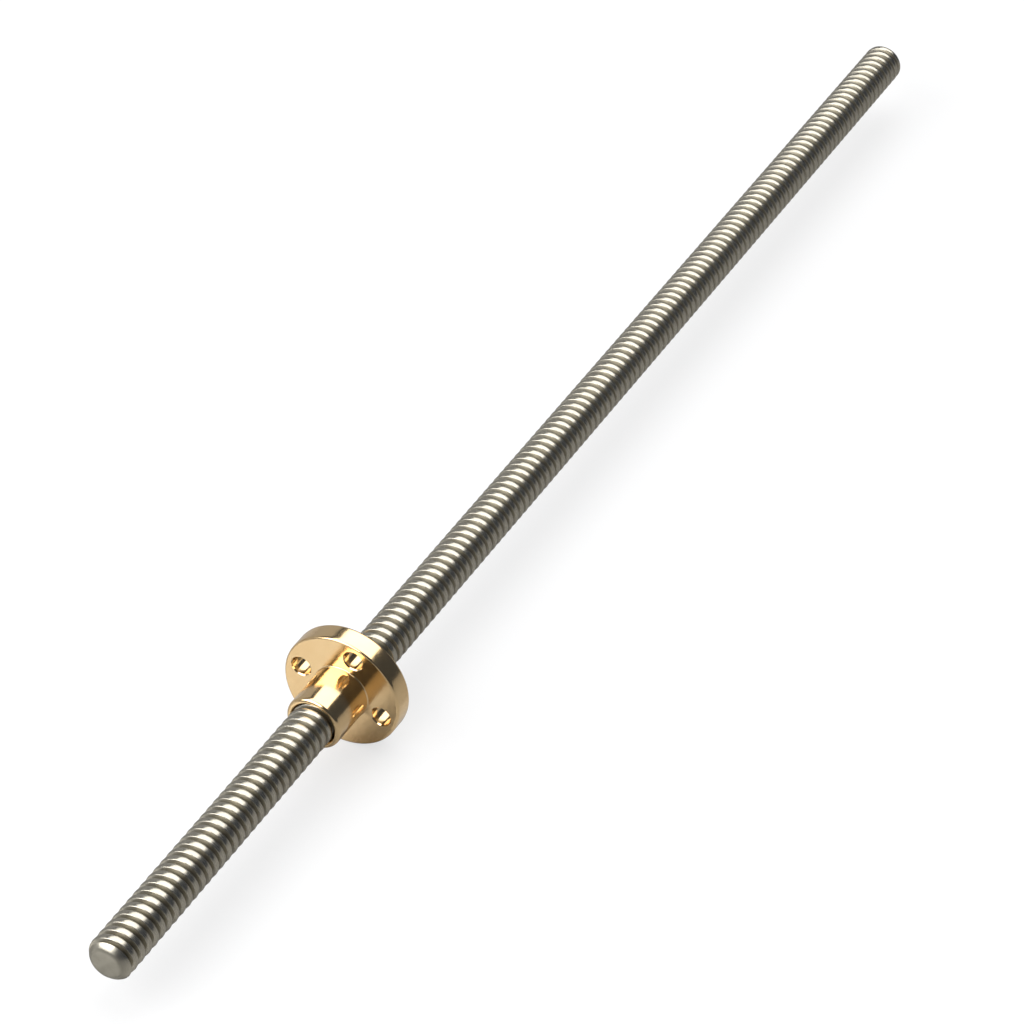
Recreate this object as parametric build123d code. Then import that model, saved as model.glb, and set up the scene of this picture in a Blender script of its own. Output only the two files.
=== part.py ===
from build123d import *
import math
import os

# A trapezoidal lead screw with its flanged nut on it, in millimetres.
# The screw's axis is the X axis, and the origin is the centre of the end face on the boss's side.
# +X runs along the screw, and +Z is up: the screw is held level by that end, as in a machine.

# The thread, right-handed and single start, as both pieces are cut to it.
crest_diameter = 8.0
pitch = 2.0
crest_gap = 0.25  # radial room between a crest and the root that it runs in
thread_depth = pitch / 2 + crest_gap

# The screw, cut to length from threaded rod.
screw_length = 300.0
end_chamfer = thread_depth  # 45 degrees, down to the thread's root

# The nut, turned from one bar: a long boss, the flange and a short collar behind it.
nut_place = 63.5  # from the screw's end face to the boss's mouth
boss_wall = 0.85  # outside the root of the nut's thread
boss_length = 9.5
flange_thickness = 4.0
collar_length = 1.5
boss_chamfer = 0.4
flange_chamfer = 0.3
root_fillet = 0.25  # the cutter's radius where boss and collar meet the flange
mouth_chamfer = 0.35  # lead-in of the threaded bore, at both mouths

# The bolt holes through the flange, and the metal left on either side of them.
bolt_count = 4
bolt_hole_diameter = 3.5
bolt_hole_chamfer = 0.2
bolt_turn = 18.4  # the first hole's angle from +Y towards +Z
land_to_boss = 1.15
land_to_rim = 1.25

# Diameters that follow: bore 8.5, boss 10.2, bolt circle 16, flange 22.
bore_diameter = crest_diameter + 2 * crest_gap
boss_diameter = bore_diameter + 2 * boss_wall
bolt_circle = boss_diameter + 2 * land_to_boss + bolt_hole_diameter
flange_diameter = bolt_circle + bolt_hole_diameter + 2 * land_to_rim

# Places along the axis that follow from the sizes above.
flange_front = nut_place + boss_length
flange_back = flange_front + flange_thickness
nut_end = flange_back + collar_length


def turned(profile):
    """A solid of revolution about the X axis, from half its section as (x, radius) points."""
    return revolve(make_face(Plane.XY * Polyline(profile, close=True)), Axis.X)


def rim(piece, place, radius):
    """The circular edges of a piece with this radius in the plane x = place."""
    return [
        edge
        for edge in piece.edges().filter_by(GeomType.CIRCLE)
        if math.isclose(edge.radius, radius, abs_tol=1e-6)
        and math.isclose(edge.arc_center.X, place, abs_tol=1e-6)
    ]


def lead_screw():
    """The rod over the thread's crests, with both ends chamfered down to the root.

    The thread itself is too fine for this model: it only shows in the ends and in the fits.
    """
    crest = crest_diameter / 2
    rod = turned([(0, 0), (screw_length, 0), (screw_length, crest), (0, crest)])
    ends = rim(rod, 0, crest) + rim(rod, screw_length, crest)
    return chamfer(ends, end_chamfer)


def bolt_hole_places():
    """A location for each bolt hole, in the flange's front face, with Z along the axis."""
    step = 360 / bolt_count
    for number in range(bolt_count):
        angle = math.radians(bolt_turn + number * step)
        y = bolt_circle / 2 * math.cos(angle)
        z = bolt_circle / 2 * math.sin(angle)
        yield Plane(origin=(flange_front, y, z), z_dir=(1, 0, 0))


def bolt_hole():
    """The cutter for one hole: the drill, and a small countersink at each face of the flange."""
    radius = bolt_hole_diameter / 2
    wide = radius + bolt_hole_chamfer
    up = (Align.CENTER, Align.CENTER, Align.MIN)
    drill = Cylinder(radius, flange_thickness, align=up)
    front = Cone(wide, radius, bolt_hole_chamfer, align=up)
    back_z = flange_thickness - bolt_hole_chamfer
    back = Pos(0, 0, back_z) * Cone(radius, wide, bolt_hole_chamfer, align=up)
    return drill + front + back


def flange_nut():
    """The nut: boss, flange and collar turned in one, bored to the root of its own thread."""
    bore = bore_diameter / 2
    boss = boss_diameter / 2
    flange = flange_diameter / 2
    nut = turned(
        [
            (nut_place, bore),
            (nut_place, boss),
            (flange_front, boss),
            (flange_front, flange),
            (flange_back, flange),
            (flange_back, boss),
            (nut_end, boss),
            (nut_end, bore),
        ]
    )
    nut = fillet(rim(nut, flange_front, boss) + rim(nut, flange_back, boss), root_fillet)
    nut = chamfer(rim(nut, nut_place, boss) + rim(nut, nut_end, boss), boss_chamfer)
    nut = chamfer(rim(nut, flange_front, flange) + rim(nut, flange_back, flange), flange_chamfer)
    nut = chamfer(rim(nut, nut_place, bore) + rim(nut, nut_end, bore), mouth_chamfer)
    for place in bolt_hole_places():
        nut -= place * bolt_hole()
    return nut


os.makedirs("parts", exist_ok=True)
for name, solid in {"lead_screw": lead_screw(), "flange_nut": flange_nut()}.items():
    export_step(solid, f"parts/{name}.step")
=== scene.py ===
import math

import bmesh
import bpy
from mathutils import Euler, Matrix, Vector


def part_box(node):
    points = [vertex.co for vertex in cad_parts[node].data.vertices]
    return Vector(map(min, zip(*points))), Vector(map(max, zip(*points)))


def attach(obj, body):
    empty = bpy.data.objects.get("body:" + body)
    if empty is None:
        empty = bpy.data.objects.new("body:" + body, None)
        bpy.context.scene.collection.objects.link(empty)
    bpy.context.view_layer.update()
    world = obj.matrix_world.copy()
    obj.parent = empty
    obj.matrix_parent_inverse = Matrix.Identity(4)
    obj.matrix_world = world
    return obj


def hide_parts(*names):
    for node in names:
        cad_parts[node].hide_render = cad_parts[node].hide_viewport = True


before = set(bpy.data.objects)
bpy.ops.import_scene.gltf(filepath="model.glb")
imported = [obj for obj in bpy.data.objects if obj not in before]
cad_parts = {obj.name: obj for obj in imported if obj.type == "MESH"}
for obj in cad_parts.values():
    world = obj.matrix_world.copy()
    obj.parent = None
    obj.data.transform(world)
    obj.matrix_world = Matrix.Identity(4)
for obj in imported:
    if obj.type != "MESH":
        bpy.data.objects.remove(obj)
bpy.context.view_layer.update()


# The lead screw: one steel bar, 8 mm over the crests of its thread. The thread is rolled into it
# between two dies, right-handed and with a single start, from end to end. The bar is then cut to
# length, and both ends get a chamfer down to the root of the thread.

MM = 0.001
SIDES = 36  # facets round the screw and round its thread
FACET_TURN = math.radians(25)  # the most that an eased corner turns in one facet
SHARP = math.radians(35)  # edges that turn further than this are drawn sharp
WELD = 0.001 * MM  # points nearer to each other than this become one

screw_low, screw_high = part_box("lead_screw")
screw_length = screw_high.x - screw_low.x
crest_radius = screw_high.z
pitch = 2 * MM
crest_gap = 0.25 * MM  # radial room between a crest and the root that it runs in
thread_depth = pitch / 2 + crest_gap
root_radius = crest_radius - thread_depth
crest_width = 0.56 * pitch
crest_crown = 0.08 * MM  # rolling leaves the crest round: its edges are this much lower than its middle
flank_angle = math.radians(15)
crest_easing = 0.14 * MM
root_easing = 0.12 * MM
crest_place = 1.89 * MM  # where the thread's crest crosses the +Y side, from the end on the boss's side
end_easing = 1.3 * MM  # both edges of the end's chamfer are well rounded off
shoulder_easing = 1.2 * MM
crest_skim = 0.01 * MM  # between its ends, the cutting shape stays this far off the crests
overrun = 0.5 * MM  # how far a cutting shape reaches past what it cuts

steel_colour = (0.49, 0.457, 0.38, 1)
steel_root_shade_colour = (0.25, 0.235, 0.19, 1)  # painted shade: the root of the groove is drawn this much darker
steel_edge_tint = (0.62, 0.62, 0.62, 1)  # oil dulls what is seen at a grazing angle
steel_roughness = 0.26
root_roughening = 0.12
steel_streaks = (9000, 700, 700)  # to the metre: close along the bar, and drawn out round it
steel_patches = 260.0  # to the metre


class Flow:
    """One output of a node. Sums on it add Math nodes, so that a pattern reads as plain arithmetic."""

    def __init__(self, tree, socket=None):
        self.tree, self.socket = tree, socket

    def add(self, kind, settings=None, sockets=None):
        """A new node: its settings go in first, then a value or a link for each of its sockets."""
        node = self.tree.nodes.new(kind)
        for name, value in (settings or {}).items():
            setattr(node, name, value)
        for name, value in (sockets or {}).items():
            if isinstance(value, Flow):
                self.tree.links.new(value.socket, node.inputs[name])
            else:
                node.inputs[name].default_value = value
        return Flow(self.tree, node.outputs[0] if node.outputs else None)

    def __getitem__(self, output):
        return Flow(self.tree, self.socket.node.outputs[output])

    def math(self, operation, *values):
        return self.add("ShaderNodeMath", {"operation": operation}, dict(enumerate(values)))

    def __add__(self, other):
        return self.math("ADD", self, other)

    def __sub__(self, other):
        return self.math("SUBTRACT", self, other)

    def __rsub__(self, other):
        return self.math("SUBTRACT", other, self)

    def __mul__(self, other):
        return self.math("MULTIPLY", self, other)

    def __truediv__(self, other):
        return self.math("DIVIDE", self, other)

    def __rtruediv__(self, other):
        return self.math("DIVIDE", other, self)

    __radd__ = __add__
    __rmul__ = __mul__


def new_tree(name, inputs):
    """An empty Geometry Nodes tree: a Flow to add nodes to, and its inputs by name."""
    tree = bpy.data.node_groups.new(name, "GeometryNodeTree")
    for label, kind in inputs.items():
        tree.interface.new_socket(label, in_out="INPUT", socket_type="NodeSocket" + kind)
    tree.interface.new_socket("Piece", in_out="OUTPUT", socket_type="NodeSocketGeometry")
    given = Flow(tree).add("NodeGroupInput")
    return Flow(tree), {label: given[label] for label in inputs}


def end_tree(flow, shape, finish):
    """Ends a tree: its copies are made real and get their finish."""
    real = flow.add("GeometryNodeRealizeInstances", None, {"Geometry": shape})
    done = flow.add("GeometryNodeSetMaterial", None, {"Geometry": real, "Material": finish})
    flow.add("NodeGroupOutput", None, {"Piece": done})
    return flow.tree


def lathe_tree():
    """Winds a section round the X axis: a turned body without a lead, and a thread with one.

    A section is a line of points, each with its place along the axis as X and its radius as Y.
    """
    flow, given = new_tree(
        "lathe",
        {
            "Section": "Geometry",
            "Lead": "Float",
            "First Turn": "Float",
            "Steps": "Int",
            "Steps a Turn": "Int",
            "Finish": "Material",
        },
    )
    place = flow.add("GeometryNodeInputPosition")
    points = flow.add("GeometryNodeAttributeDomainSize", None, {"Geometry": given["Section"]})
    rows = {"Vertices X": given["Steps"] + 1, "Vertices Y": points}
    strip = flow.add("GeometryNodeMeshGrid", None, rows)

    number = flow.add("GeometryNodeInputIndex")
    step = flow.math("FLOOR", (number + 0.5) / points)
    section = flow.add(
        "GeometryNodeSampleIndex",
        {"data_type": "FLOAT_VECTOR"},
        {"Geometry": given["Section"], "Value": place, "Index": number - step * points},
    )
    section = flow.add("ShaderNodeSeparateXYZ", None, {"Vector": section})
    turns = step / given["Steps a Turn"]
    angle = (given["First Turn"] + turns) * math.tau
    wound = flow.add(
        "ShaderNodeCombineXYZ",
        None,
        {
            "X": section["X"] + given["Lead"] * turns,
            "Y": section["Y"] * flow.math("COSINE", angle),
            "Z": section["Y"] * flow.math("SINE", angle),
        },
    )
    shape = flow.add("GeometryNodeSetPosition", None, {"Geometry": strip, "Position": wound})
    shape = flow.add("GeometryNodeMergeByDistance", None, {"Geometry": shape, "Distance": WELD})

    # A thread stays open at both ends: each rim is drawn to a point on the axis.
    along = flow.add("ShaderNodeSeparateXYZ", None, {"Vector": place})
    reach = flow.add("GeometryNodeAttributeStatistic", None, {"Geometry": shape, "Attribute": along})
    faces = flow.add("GeometryNodeInputMeshEdgeNeighbors")
    rim = flow.add("FunctionNodeCompare", {"data_type": "INT", "operation": "EQUAL"}, {2: faces, 3: 1})
    drawn = {"Mesh": shape, "Selection": rim, "Offset Scale": 0.0}
    drawn = flow.add("GeometryNodeExtrudeMesh", {"mode": "EDGES"}, drawn)
    far = flow.math("GREATER_THAN", along, (reach["Min"] + reach["Max"]) / 2)
    tip = reach["Min"] + given["Lead"] / 2 + far * (reach["Max"] - reach["Min"] - given["Lead"])
    tip = flow.add("ShaderNodeCombineXYZ", None, {"X": tip})
    closed = {"Geometry": drawn["Mesh"], "Selection": drawn["Top"], "Position": tip}
    shape = flow.add("GeometryNodeSetPosition", None, closed)
    shape = flow.add("GeometryNodeMergeByDistance", None, {"Geometry": shape, "Distance": WELD})
    return end_tree(flow, shape, given["Finish"])


def eased(corners):
    """The points of a section, given as (along, radius, easing), with each corner rounded by its easing."""
    points = [corners[0][:2]]
    for before, corner, after in zip(corners, corners[1:], corners[2:]):
        easing = corner[2]
        if easing == 0:
            points.append(corner[:2])
            continue
        middle = Vector(corner[:2])
        back = (Vector(before[:2]) - middle).normalized()
        onward = (Vector(after[:2]) - middle).normalized()
        turn = math.pi - back.angle(onward)
        centre = middle + (back + onward).normalized() * easing / math.cos(turn / 2)
        first = middle + back * easing * math.tan(turn / 2) - centre
        last = middle + onward * easing * math.tan(turn / 2) - centre
        # The small number keeps a rounding error from adding a facet.
        steps = math.ceil(turn / FACET_TURN - 0.001)
        for step in range(steps + 1):
            part = step / steps * turn
            share = math.sin(turn - part), math.sin(part)
            points.append(centre + (first * share[0] + last * share[1]) / math.sin(turn))
    points.append(corners[-1][:2])
    return points


def drawn_section(name, points):
    """An object that holds a section's points as one open line."""
    line = bpy.data.meshes.new(name)
    edges = [(number, number + 1) for number in range(len(points) - 1)]
    line.from_pydata([(along, radius, 0) for along, radius in points], edges, [])
    section = bpy.data.objects.new(name, line)
    bpy.context.scene.collection.objects.link(section)
    return section


def worked(piece, tree, **sizes):
    """Gives a piece one more stage of work: a tree with its sizes."""
    stage = piece.modifiers.new(tree.name, "NODES")
    stage.node_group = tree
    for socket in tree.interface.items_tree:
        size = sizes.get(socket.name.lower().replace(" ", "_"))
        if size is not None and socket.in_out == "INPUT":
            stage[socket.identifier] = size
    return piece


def cut(piece, tool, operation):
    """Cuts a piece with another one: what the tool covers is taken away, or is all that stays."""
    stage = piece.modifiers.new(tool.name, "BOOLEAN")
    stage.object = tool
    stage.operation = operation
    stage.solver = "EXACT"


def cleaned(mesh):
    """Takes out the points that a cut leaves halfway along an edge, where only two edges meet."""
    work = bmesh.new()
    work.from_mesh(mesh)
    spare = [point for point in work.verts if len(point.link_edges) == 2]
    bmesh.ops.dissolve_verts(work, verts=spare)
    work.to_mesh(mesh)
    work.free()


def made_plain(piece):
    """Carries out a piece's stages of work, so that a plain mesh is all it is."""
    worked_piece = piece.evaluated_get(bpy.context.evaluated_depsgraph_get())
    piece.data = bpy.data.meshes.new_from_object(worked_piece)
    piece.modifiers.clear()


def finished(piece, *tools):
    """Makes a worked piece plain, marks its sharp edges and puts its tools away."""
    made_plain(piece)
    cleaned(piece.data)
    piece.data.shade_smooth()
    piece.data.set_sharp_from_angle(angle=SHARP)
    for tool in tools:
        bpy.data.objects.remove(tool)


lathe = lathe_tree()


def thread(name, crest, root, width, low, high, finish):
    """A threaded bar that covers low to high, from its crest and root radius and its crest's width."""
    flank = (crest - root) * math.tan(flank_angle)
    first_crest = crest_place + pitch * math.floor((low - crest_place) / pitch - 1)
    turns = math.ceil((high - first_crest) / pitch) + 1
    section = [
        (first_crest - pitch / 2, root, 0),
        (first_crest - width / 2 - flank, root, root_easing),
        (first_crest - width / 2, crest - crest_crown, crest_easing),
        (first_crest, crest, 0),
        (first_crest + width / 2, crest - crest_crown, crest_easing),
        (first_crest + width / 2 + flank, root, root_easing),
        (first_crest + pitch / 2, root, 0),
    ]
    bar = drawn_section(name, eased(section))
    return worked(bar, lathe, lead=pitch, steps=turns * SIDES, steps_a_turn=SIDES, finish=finish)


def turned(name, section, sides, finish):
    """A turned body of this section, begun half a facet on, so that its edges miss a thread's."""
    body = drawn_section(name, section)
    half_facet = 0.5 / sides
    return worked(body, lathe, first_turn=half_facet, steps=sides, steps_a_turn=sides, finish=finish)


def new_finish(name):
    """A material with no nodes yet, and a Flow to add them with."""
    material = bpy.data.materials.new(name)
    material.use_nodes = True
    material.node_tree.nodes.clear()
    return material, Flow(material.node_tree)


def about_axis(flow):
    """Where a point of the surface lies: its place, the parts of that, and its radius from the X axis."""
    place = flow.add("ShaderNodeTexCoord")["Object"]
    along = flow.add("ShaderNodeSeparateXYZ", None, {"Vector": place})
    radius = flow.math("SQRT", along["Y"] * along["Y"] + along["Z"] * along["Z"])
    return place, along, radius


def rolled_steel():
    """Bright rolled steel with a film of oil: streaks round the bar, and a duller root with painted shade
    in it.
    """
    material, flow = new_finish("rolled_steel")
    place, _, radius = about_axis(flow)
    down = {"Value": radius, "From Min": crest_radius, "From Max": root_radius}
    depth = flow.add("ShaderNodeMapRange", None, down)

    drawn_out = {0: place, 1: steel_streaks}
    drawn_out = flow.add("ShaderNodeVectorMath", {"operation": "MULTIPLY"}, drawn_out)
    streaks = flow.add("ShaderNodeTexNoise", None, {"Vector": drawn_out, "Scale": 1.0, "Detail": 3.0})
    cloudy = {"Vector": place, "Scale": steel_patches, "Detail": 2.0}
    patches = flow.add("ShaderNodeTexNoise", None, cloudy)

    # Painted shade: darker towards the root of the groove, and a little more or less so in streaks and
    # patches of the steel's own tone.
    root_shade_and_tone = depth * 0.7 + (streaks - 0.5) * 0.5 + (patches - 0.5) * 0.4
    colour = flow.add(
        "ShaderNodeMix",
        {"data_type": "RGBA", "clamp_factor": True},
        {0: root_shade_and_tone, 6: steel_colour, 7: steel_root_shade_colour},
    )["Result"]
    scratches = {"Height": streaks, "Strength": 0.25, "Distance": 0.004 * MM}
    relief = flow.add("ShaderNodeBump", None, scratches)
    surface = flow.add(
        "ShaderNodeBsdfPrincipled",
        None,
        {
            "Base Color": colour,
            "Metallic": 1.0,
            "Roughness": steel_roughness + depth * root_roughening + (streaks - 0.5) * 0.1,
            "Normal": relief,
            "Specular Tint": steel_edge_tint,
            "Coat Weight": 0.02 + depth * 0.3,
            "Coat Roughness": 0.12,
        },
    )
    flow.add("ShaderNodeOutputMaterial", None, {"Surface": surface})
    return material


steel = rolled_steel()
screw = thread("rolled_screw", crest_radius, root_radius, crest_width, 0, screw_length, steel)
clear_of_crest = crest_radius + crest_skim
above_crest = crest_radius + overrun
shoulder = thread_depth + shoulder_easing
near_end = [
    (0, 0, 0),
    (0, root_radius, end_easing),
    (thread_depth, clear_of_crest, shoulder_easing),
    (shoulder, clear_of_crest, 0),
    (shoulder + overrun, above_crest, 0),
]
far_end = [(screw_length - along, radius, easing) for along, radius, easing in reversed(near_end)]
cut_bar = turned("cut_bar", eased(near_end + far_end), SIDES * 2, steel)
cut(screw, cut_bar, "INTERSECT")
finished(screw, cut_bar)
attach(screw, "screw")
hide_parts("lead_screw")


# The flanged nut: one piece of brass, turned from bar and polished, with a long boss, a round flange
# and a short collar. It is bored and tapped to run on the screw, and the flange is drilled for four
# bolts.

NUT_SIDES = 128

nut_low, nut_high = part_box("flange_nut")
mouth = nut_low.x
nut_end = nut_high.x
flange_radius = nut_high.z
boss_radius = 5.1 * MM
boss_length = 9.5 * MM
flange_thickness = 4 * MM
flange_front = mouth + boss_length
flange_back = flange_front + flange_thickness
collar_chamfer = 0.4 * MM
flange_chamfer = 0.3 * MM
root_fillet = 0.25 * MM
mouth_chamfer = 0.1 * MM
mouth_round = 0.72 * MM  # polishing has rounded the boss's wall over at its mouth, chamfer and all
edge_easing = 0.06 * MM
face_easing = 0.4 * MM  # where the polished chamfer of the flange runs into a flat face
rim_easing = 0.55 * MM  # and where it runs into the rim

flank_play = 0.1 * MM  # the nut's groove is wider than the screw's ridge by this
tap_crest_radius = crest_radius + crest_gap
tap_root_radius = root_radius + crest_gap
tap_crest_width = crest_width + flank_play - 2 * crest_gap * math.tan(flank_angle)
bore_allowance = 0.1 * MM  # the bore is drilled this much under the tap, which then cuts all of it

bolt_count = 4
bolt_circle_radius = 8 * MM
bolt_hole_radius = 1.75 * MM
bolt_hole_chamfer = 0.2 * MM
bolt_turn = math.radians(18.4)  # the first hole, from +Y towards +Z

brass_colour = (0.87, 0.63, 0.34, 1)
brass_deep_colour = (0.74, 0.50, 0.24, 1)
brass_roughness = 0.14
fine_rings = 16000.0  # to the metre, left by the lathe's tool
broad_rings = 900.0


def bolt_circle_tree():
    """Sets copies of a drill on a circle round the X axis, and makes them real."""
    flow, given = new_tree(
        "bolt_circle",
        {
            "Drill": "Geometry",
            "Count": "Int",
            "Radius": "Float",
            "First Turn": "Float",
            "Finish": "Material",
        },
    )
    number = flow.add("GeometryNodeInputIndex")
    angle = given["First Turn"] + number / given["Count"] * math.tau
    place = flow.add(
        "ShaderNodeCombineXYZ",
        None,
        {
            "Y": given["Radius"] * flow.math("COSINE", angle),
            "Z": given["Radius"] * flow.math("SINE", angle),
        },
    )
    spots = flow.add("GeometryNodePoints", None, {"Count": given["Count"], "Position": place})
    drills = flow.add("GeometryNodeInstanceOnPoints", None, {"Points": spots, "Instance": given["Drill"]})
    return end_tree(flow, drills, given["Finish"])


def trued(piece):
    """Keeps a piece's flat faces plain to the light, so that only its eased edges seem to turn."""
    stage = piece.modifiers.new("trued", "WEIGHTED_NORMAL")
    stage.keep_sharp = True
    made_plain(piece)


def turned_brass():
    """Polished brass with the faint rings that the lathe's tool leaves round the axis."""
    material, flow = new_finish("turned_brass")
    place, along, radius = about_axis(flow)
    feed = along["X"] * 0.8 + radius * 1.3

    # Each ring tips the surface a little, along the tool's path from the axis outwards.
    on_a_line = {"noise_dimensions": "1D"}
    fine = {"W": feed, "Scale": fine_rings, "Detail": 1.0}
    fine = flow.add("ShaderNodeTexNoise", on_a_line, fine)
    broad = {"W": feed, "Scale": broad_rings, "Detail": 1.0}
    broad = flow.add("ShaderNodeTexNoise", on_a_line, broad)
    tip = (fine - 0.5) * 0.09 + (broad - 0.5) * 0.05
    normal = flow.add("ShaderNodeNewGeometry")["Normal"]
    outward = flow.add("ShaderNodeCombineXYZ", None, {"Y": along["Y"], "Z": along["Z"]})
    outward = flow.add("ShaderNodeVectorMath", {"operation": "NORMALIZE"}, {0: outward})
    around = flow.add("ShaderNodeVectorMath", {"operation": "CROSS_PRODUCT"}, {0: (1, 0, 0), 1: outward})
    across = flow.add("ShaderNodeVectorMath", {"operation": "CROSS_PRODUCT"}, {0: around, 1: normal})
    across = flow.add("ShaderNodeVectorMath", {"operation": "SCALE"}, {0: across, "Scale": tip})
    tipped = flow.add("ShaderNodeVectorMath", {"operation": "ADD"}, {0: normal, 1: across})
    tipped = flow.add("ShaderNodeVectorMath", {"operation": "NORMALIZE"}, {0: tipped})

    clouds = flow.add("ShaderNodeTexNoise", None, {"Vector": place, "Scale": 180.0, "Detail": 3.0})
    smears = flow.add("ShaderNodeTexNoise", None, {"Vector": place, "Scale": 900.0, "Detail": 4.0})
    colour = flow.add(
        "ShaderNodeMix",
        {"data_type": "RGBA", "clamp_factor": True},
        {0: (clouds - 0.42) * 1.4, 6: brass_colour, 7: brass_deep_colour},
    )["Result"]
    surface = flow.add(
        "ShaderNodeBsdfPrincipled",
        None,
        {
            "Base Color": colour,
            "Metallic": 1.0,
            "Roughness": brass_roughness + (smears - 0.4) * 0.12,
            "Normal": tipped,
        },
    )
    flow.add("ShaderNodeOutputMaterial", None, {"Surface": surface})
    return material


brass = turned_brass()
bore_radius = tap_root_radius - bore_allowance
mouth_radius = tap_crest_radius + mouth_chamfer
lead_in = mouth_radius - bore_radius
nut_section = [
    (mouth + lead_in, bore_radius, 0),
    (mouth, mouth_radius, 0),
    (mouth, boss_radius, mouth_round),
    (flange_front, boss_radius, root_fillet),
    (flange_front, flange_radius - flange_chamfer, face_easing),
    (flange_front + flange_chamfer, flange_radius, rim_easing),
    (flange_back - flange_chamfer, flange_radius, rim_easing),
    (flange_back, flange_radius - flange_chamfer, face_easing),
    (flange_back, boss_radius, root_fillet),
    (nut_end - collar_chamfer, boss_radius, edge_easing),
    (nut_end, boss_radius - collar_chamfer, edge_easing),
    (nut_end, mouth_radius, 0),
    (nut_end - lead_in, bore_radius, 0),
    (mouth + lead_in, bore_radius, 0),
]
nut = turned("tapped_nut", eased(nut_section), NUT_SIDES, brass)

drill_wide = bolt_hole_radius + bolt_hole_chamfer + overrun
drill_section = [
    (flange_front - overrun, 0, 0),
    (flange_front - overrun, drill_wide, 0),
    (flange_front + bolt_hole_chamfer, bolt_hole_radius, edge_easing),
    (flange_back - bolt_hole_chamfer, bolt_hole_radius, edge_easing),
    (flange_back + overrun, drill_wide, 0),
    (flange_back + overrun, 0, 0),
]
drill = turned("drill", eased(drill_section), NUT_SIDES // 2, brass)
worked(
    drill,
    bolt_circle_tree(),
    count=bolt_count,
    radius=bolt_circle_radius,
    first_turn=bolt_turn,
    finish=brass,
)
tap = thread("tap", tap_crest_radius, tap_root_radius, tap_crest_width, mouth, nut_end, brass)
cut(nut, drill, "DIFFERENCE")
cut(nut, tap, "DIFFERENCE")
finished(nut, drill, tap)
trued(nut)
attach(nut, "nut")
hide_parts("flange_nut")


# The studio: a pale paper floor that the flange's rim stands on, one wide soft light overhead, a small
# strong one in front on the left, and a weak long panel at the left. What is dark on the right is the
# room itself.

floor_reach = 4.0
paper_colour = (0.33, 0.325, 0.315, 1)
pale_colour = (0.90, 0.90, 0.90, 1)
backdrop_light = (0.93, 0.93, 0.93, 1)
glow_share = 0.75  # how much of what is seen of the paper is lit up
room_light = (0.056, 0.064, 0.081, 1)


def paper():
    """Pale paper: its satin face throws light up at the metal, and seen straight it is near white.

    Lit up a little where it is seen, so that the shadow on it stays as faint as on a backdrop of cloth.
    """
    material, flow = new_finish("pale_paper")
    place = flow.add("ShaderNodeTexCoord")["Object"]
    fibre = flow.add("ShaderNodeTexNoise", None, {"Vector": place, "Scale": 900.0, "Detail": 3.0})
    satin = {
        "Base Color": paper_colour,
        "Roughness": 0.27 + (fibre - 0.5) * 0.1,
        "Specular IOR Level": 1.0,
    }
    surface = flow.add("ShaderNodeBsdfPrincipled", None, satin)
    matt = {"Base Color": pale_colour, "Roughness": 0.9, "Specular IOR Level": 0.0}
    pale = flow.add("ShaderNodeBsdfPrincipled", None, matt)
    glow = flow.add("ShaderNodeEmission", None, {"Color": backdrop_light})
    pale = flow.add("ShaderNodeMixShader", None, {0: glow_share, 1: pale, 2: glow})
    looked_at = flow.add("ShaderNodeLightPath")["Is Camera Ray"]
    both = flow.add("ShaderNodeMixShader", None, {0: looked_at, 1: surface, 2: pale})
    flow.add("ShaderNodeOutputMaterial", None, {"Surface": both})
    return material


def soft_light(name, place, aim, size, brightness):
    """A flat panel of light: its width and height in metres, and how bright it looks."""
    panel = bpy.data.lights.new(name, "AREA")
    panel.shape = "RECTANGLE"
    panel.size, panel.size_y = size
    panel.energy = brightness * size[0] * size[1] * math.pi
    light = bpy.data.objects.new(name, panel)
    light.location = place
    light.rotation_euler = (Vector(aim) - Vector(place)).to_track_quat("-Z", "Y").to_euler()
    light.visible_camera = False
    bpy.context.scene.collection.objects.link(light)


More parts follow.
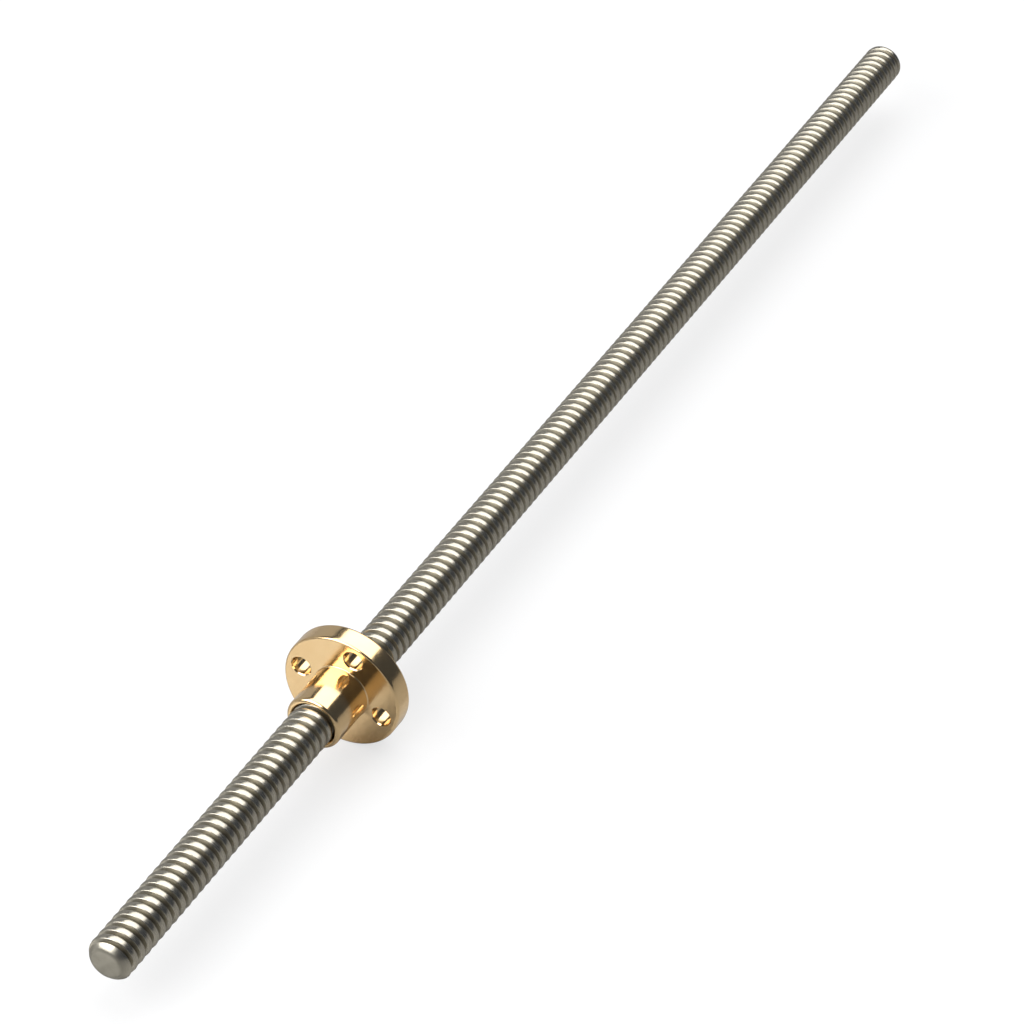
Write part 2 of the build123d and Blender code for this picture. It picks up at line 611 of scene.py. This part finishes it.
floor_mesh = bpy.data.meshes.new("floor")
floor_corners = [
    (x * floor_reach, y * floor_reach, -flange_radius)
    for x, y in [(-1, -1), (1, -1), (1, 1), (-1, 1)]
]
floor_mesh.from_pydata(floor_corners, [], [(0, 1, 2, 3)])
floor = bpy.data.objects.new("floor", floor_mesh)
floor.data.materials.append(paper())
bpy.context.scene.collection.objects.link(floor)

soft_light(
    "overhead_light",
    place=(1.15, 0, 1.6),
    aim=(1.15, 0, 0),
    size=(2.9, 2.14),
    brightness=2.6,
)
soft_light(
    "left_panel",
    place=(0.71, 2.29, 0.85),
    aim=(0.1, 0, 0.85),
    size=(5.6, 1.7),
    brightness=0.37,
)
soft_light(
    "front_light",
    place=(-0.51, 0.34, 0.55),
    aim=(0.05, 0, 0),
    size=(0.95, 0.71),
    brightness=5.0,
)

room = bpy.data.worlds.new("room")
room.use_nodes = True
room.node_tree.nodes.clear()
flow = Flow(room.node_tree)
seen = flow.add("ShaderNodeBackground", None, {"Color": backdrop_light})
felt = flow.add("ShaderNodeBackground", None, {"Color": room_light})
looked_at = flow.add("ShaderNodeLightPath")["Is Camera Ray"]
both = flow.add("ShaderNodeMixShader", None, {0: looked_at, 1: felt, 2: seen})
flow.add("ShaderNodeOutputWorld", None, {"Surface": both})
bpy.context.scene.world = room
bpy.context.scene.view_settings.view_transform = "Standard"


# The camera: a long lens that looks down along the screw from the end on the boss's side, so that the
# far end runs up to the right of the picture.

camera_place = (-352.75 * MM, -257.5 * MM, 427.5 * MM)
camera_heading = math.radians(27.87)  # from +X towards +Y
camera_dip = math.radians(38.09)
film_width = 36.0  # this and the lens are in the camera's own millimetres
lens_length = 137.65
nearest_seen = 0.01
farthest_seen = 20.0

lens = bpy.data.cameras.new("camera")
lens.sensor_width = film_width
lens.lens = lens_length
lens.clip_start = nearest_seen
lens.clip_end = farthest_seen
camera = bpy.data.objects.new("camera", lens)
camera.location = camera_place
camera.rotation_euler = Euler((math.pi / 2 - camera_dip, 0, camera_heading - math.pi / 2))
bpy.context.scene.collection.objects.link(camera)
bpy.context.scene.camera = camera
